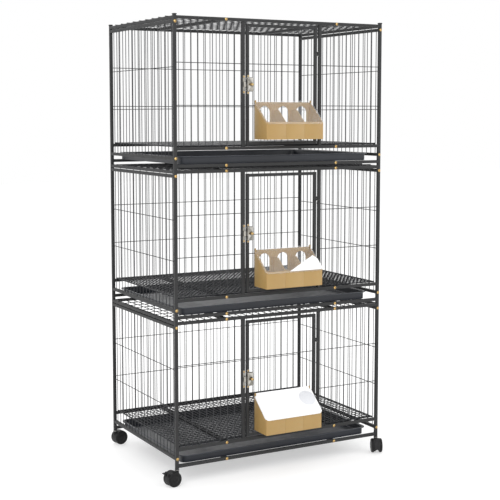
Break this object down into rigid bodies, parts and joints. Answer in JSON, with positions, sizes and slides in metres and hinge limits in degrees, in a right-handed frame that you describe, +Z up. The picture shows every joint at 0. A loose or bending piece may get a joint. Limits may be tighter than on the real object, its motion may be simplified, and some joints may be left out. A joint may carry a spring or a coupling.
{
  "type": "kennel cage",
  "caption": "Tall rolling wire kennel cage with stacked tiers, each with a hinged front door, slide latch, lidded feeder, wire floor and pull-out tray, on locking casters.",
  "frame": {"origin": "on the floor, at the middle of the whole object's footprint", "axes": "+Z up, front with the doors towards -Y, +X to the right seen from the front"},
  "size_m": [0.8296, 0.6468, 1.463],
  "materials": {
    "frame_coat": "charcoal hammertone powder coat, semi-gloss",
    "grate_coat": "charcoal powder coat on round wire",
    "tray_plastic": "glossy blue-black thermoformed sheet",
    "feeder_plastic": "moulded tan plastic, satin",
    "lid_clear": "clear moulded plastic",
    "lid_white": "lid with its white protective film still on",
    "bolt_zinc": "yellow zinc plate",
    "latch_steel": "bright zinc plate, lightly brushed",
    "plain_steel": "plain steel, hidden inside tubes",
    "cap_plastic": "black moulded cap",
    "wheel_black": "black moulded nylon, satin tread",
    "caster_black": "black moulded nylon, fine texture"
  },
  "bodies": {
    "frame": {"lower_front_panel": "frame_coat", "lower_back_panel": "frame_coat", "lower_left_panel": "frame_coat", "lower_right_panel": "frame_coat", "lower_roof_panel": "frame_coat", "lower_floor_grate": "grate_coat", "lower_cross_bars": "frame_coat", "middle_front_panel": "frame_coat", "middle_back_panel": "frame_coat", "middle_left_panel": "frame_coat", "middle_right_panel": "frame_coat", "middle_roof_panel": "frame_coat", "middle_floor_grate": "grate_coat", "middle_cross_bars": "frame_coat", "upper_front_panel": "frame_coat", "upper_back_panel": "frame_coat", "upper_left_panel": "frame_coat", "upper_right_panel": "frame_coat", "upper_roof_panel": "frame_coat", "upper_floor_grate": "grate_coat", "upper_cross_bars": "frame_coat", "jamb_knuckles": "frame_coat", "hinge_pins": "latch_steel", "latch_keepers": "latch_steel", "keeper_screws": "bolt_zinc", "frame_bolts": "bolt_zinc", "rail_inserts": "plain_steel", "post_dowels": "plain_steel", "post_caps": "cap_plastic", "caster_stems": "plain_steel"},
    "lower_door_leaf": {"lower_door": "frame_coat", "lower_latch_case": "latch_steel"},
    "lower_latch_slider": {"lower_latch_bolt": "latch_steel"},
    "lower_tray_pan": {"lower_tray": "tray_plastic"},
    "lower_feeder": {"lower_feeder_box": "feeder_plastic"},
    "lower_feeder_cover": {"lower_feeder_lid": "lid_white"},
    "middle_door_leaf": {"middle_door": "frame_coat", "middle_latch_case": "latch_steel"},
    "middle_latch_slider": {"middle_latch_bolt": "latch_steel"},
    "middle_tray_pan": {"middle_tray": "tray_plastic"},
    "middle_feeder": {"middle_feeder_box": "feeder_plastic"},
    "middle_feeder_cover": {"middle_feeder_lid": "lid_clear"},
    "upper_door_leaf": {"upper_door": "frame_coat", "upper_latch_case": "latch_steel"},
    "upper_latch_slider": {"upper_latch_bolt": "latch_steel"},
    "upper_tray_pan": {"upper_tray": "tray_plastic"},
    "upper_feeder": {"upper_feeder_box": "feeder_plastic"},
    "upper_feeder_cover": {"upper_feeder_lid": "lid_clear"},
    "front_left_caster": {"front_left_caster_housing": "caster_black"},
    "front_left_wheels": {"front_left_caster_wheels": "wheel_black"},
    "front_left_brake": {"front_left_brake_lever": "caster_black"},
    "front_right_caster": {"front_right_caster_housing": "caster_black"},
    "front_right_wheels": {"front_right_caster_wheels": "wheel_black"},
    "back_left_caster": {"back_left_caster_housing": "caster_black"},
    "back_left_wheels": {"back_left_caster_wheels": "wheel_black"},
    "back_right_caster": {"back_right_caster_housing": "caster_black"},
    "back_right_wheels": {"back_right_caster_wheels": "wheel_black"},
    "back_right_brake": {"back_right_brake_lever": "caster_black"}
  },
  "joints": [
    {"name": "lower_door_hinge", "type": "hinge", "parent": "frame", "child": "lower_door_leaf", "pos_m": [0.1501, -0.2387, 0.31], "axis": [0, 0, 1], "range_deg": [0, 105]},
    {"name": "lower_latch_throw", "type": "slide", "parent": "lower_door_leaf", "child": "lower_latch_slider", "axis": [-1, 0, 0], "range_m": [0, 0.009]},
    {"name": "lower_tray_slide", "type": "slide", "parent": "frame", "child": "lower_tray_pan", "axis": [0, -1, 0], "range_m": [0, 0.45]},
    {"name": "lower_feeder_lift", "type": "slide", "parent": "lower_door_leaf", "child": "lower_feeder", "axis": [0, 0, 1], "range_m": [0, 0.012]},
    {"name": "lower_lid_hinge", "type": "hinge", "parent": "lower_feeder", "child": "lower_feeder_cover", "pos_m": [0.01636, -0.2429, 0.2597], "axis": [-1, 0, 0], "range_deg": [0, 110]},
    {"name": "middle_door_hinge", "type": "hinge", "parent": "frame", "child": "middle_door_leaf", "pos_m": [0.1501, -0.2387, 0.78], "axis": [0, 0, 1], "range_deg": [0, 105]},
    {"name": "middle_latch_throw", "type": "slide", "parent": "middle_door_leaf", "child": "middle_latch_slider", "axis": [-1, 0, 0], "range_m": [0, 0.009]},
    {"name": "middle_tray_slide", "type": "slide", "parent": "frame", "child": "middle_tray_pan", "axis": [0, -1, 0], "range_m": [0, 0.45]},
    {"name": "middle_feeder_lift", "type": "slide", "parent": "middle_door_leaf", "child": "middle_feeder", "axis": [0, 0, 1], "range_m": [0, 0.012]},
    {"name": "middle_lid_hinge", "type": "hinge", "parent": "middle_feeder", "child": "middle_feeder_cover", "pos_m": [0.01636, -0.2429, 0.7297], "axis": [-1, 0, 0], "range_deg": [0, 110]},
    {"name": "upper_door_hinge", "type": "hinge", "parent": "frame", "child": "upper_door_leaf", "pos_m": [0.1501, -0.2387, 1.25], "axis": [0, 0, 1], "range_deg": [0, 105]},
    {"name": "upper_latch_throw", "type": "slide", "parent": "upper_door_leaf", "child": "upper_latch_slider", "axis": [-1, 0, 0], "range_m": [0, 0.009]},
    {"name": "upper_tray_slide", "type": "slide", "parent": "frame", "child": "upper_tray_pan", "axis": [0, -1, 0], "range_m": [0, 0.45]},
    {"name": "upper_feeder_lift", "type": "slide", "parent": "upper_door_leaf", "child": "upper_feeder", "axis": [0, 0, 1], "range_m": [0, 0.012]},
    {"name": "upper_lid_hinge", "type": "hinge", "parent": "upper_feeder", "child": "upper_feeder_cover", "pos_m": [0.01636, -0.2429, 1.1997], "axis": [-1, 0, 0], "range_deg": [0, 110]},
    {"name": "front_left_swivel", "type": "hinge", "parent": "frame", "child": "front_left_caster", "pos_m": [-0.36164, -0.2337, 0.04], "axis": [0, 0, 1], "continuous": true},
    {"name": "front_left_roll", "type": "hinge", "parent": "front_left_caster", "child": "front_left_wheels", "pos_m": [-0.37844, -0.23636, 0.024], "axis": [0.1564, -0.9877, 0], "continuous": true},
    {"name": "front_left_brake_hinge", "type": "hinge", "parent": "front_left_caster", "child": "front_left_brake", "pos_m": [-0.39819, -0.23949, 0.046], "axis": [0.1564, -0.9877, 0], "range_deg": [0, 18]},
    {"name": "front_right_swivel", "type": "hinge", "parent": "frame", "child": "front_right_caster", "pos_m": [0.39636, -0.2337, 0.04], "axis": [0, 0, 1], "continuous": true},
    {"name": "front_right_roll", "type": "hinge", "parent": "front_right_caster", "child": "front_right_wheels", "pos_m": [0.3889, -0.24898, 0.024], "axis": [0.8988, -0.4384, 0], "continuous": true},
    {"name": "back_left_swivel", "type": "hinge", "parent": "frame", "child": "back_left_caster", "pos_m": [-0.36164, 0.2743, 0.04], "axis": [0, 0, 1], "continuous": true},
    {"name": "back_left_roll", "type": "hinge", "parent": "back_left_caster", "child": "back_left_wheels", "pos_m": [-0.34485, 0.27696, 0.024], "axis": [-0.1564, 0.9877, 0], "continuous": true},
    {"name": "back_right_swivel", "type": "hinge", "parent": "frame", "child": "back_right_caster", "pos_m": [0.39636, 0.2743, 0.04], "axis": [0, 0, 1], "continuous": true},
    {"name": "back_right_roll", "type": "hinge", "parent": "back_right_caster", "child": "back_right_wheels", "pos_m": [0.38837, 0.28931, 0.024], "axis": [-0.8829, -0.4695, 0], "continuous": true},
    {"name": "back_right_brake_hinge", "type": "hinge", "parent": "back_right_caster", "child": "back_right_brake", "pos_m": [0.37899, 0.30697, 0.046], "axis": [-0.8829, -0.4695, 0], "range_deg": [0, 18]}
  ]
}
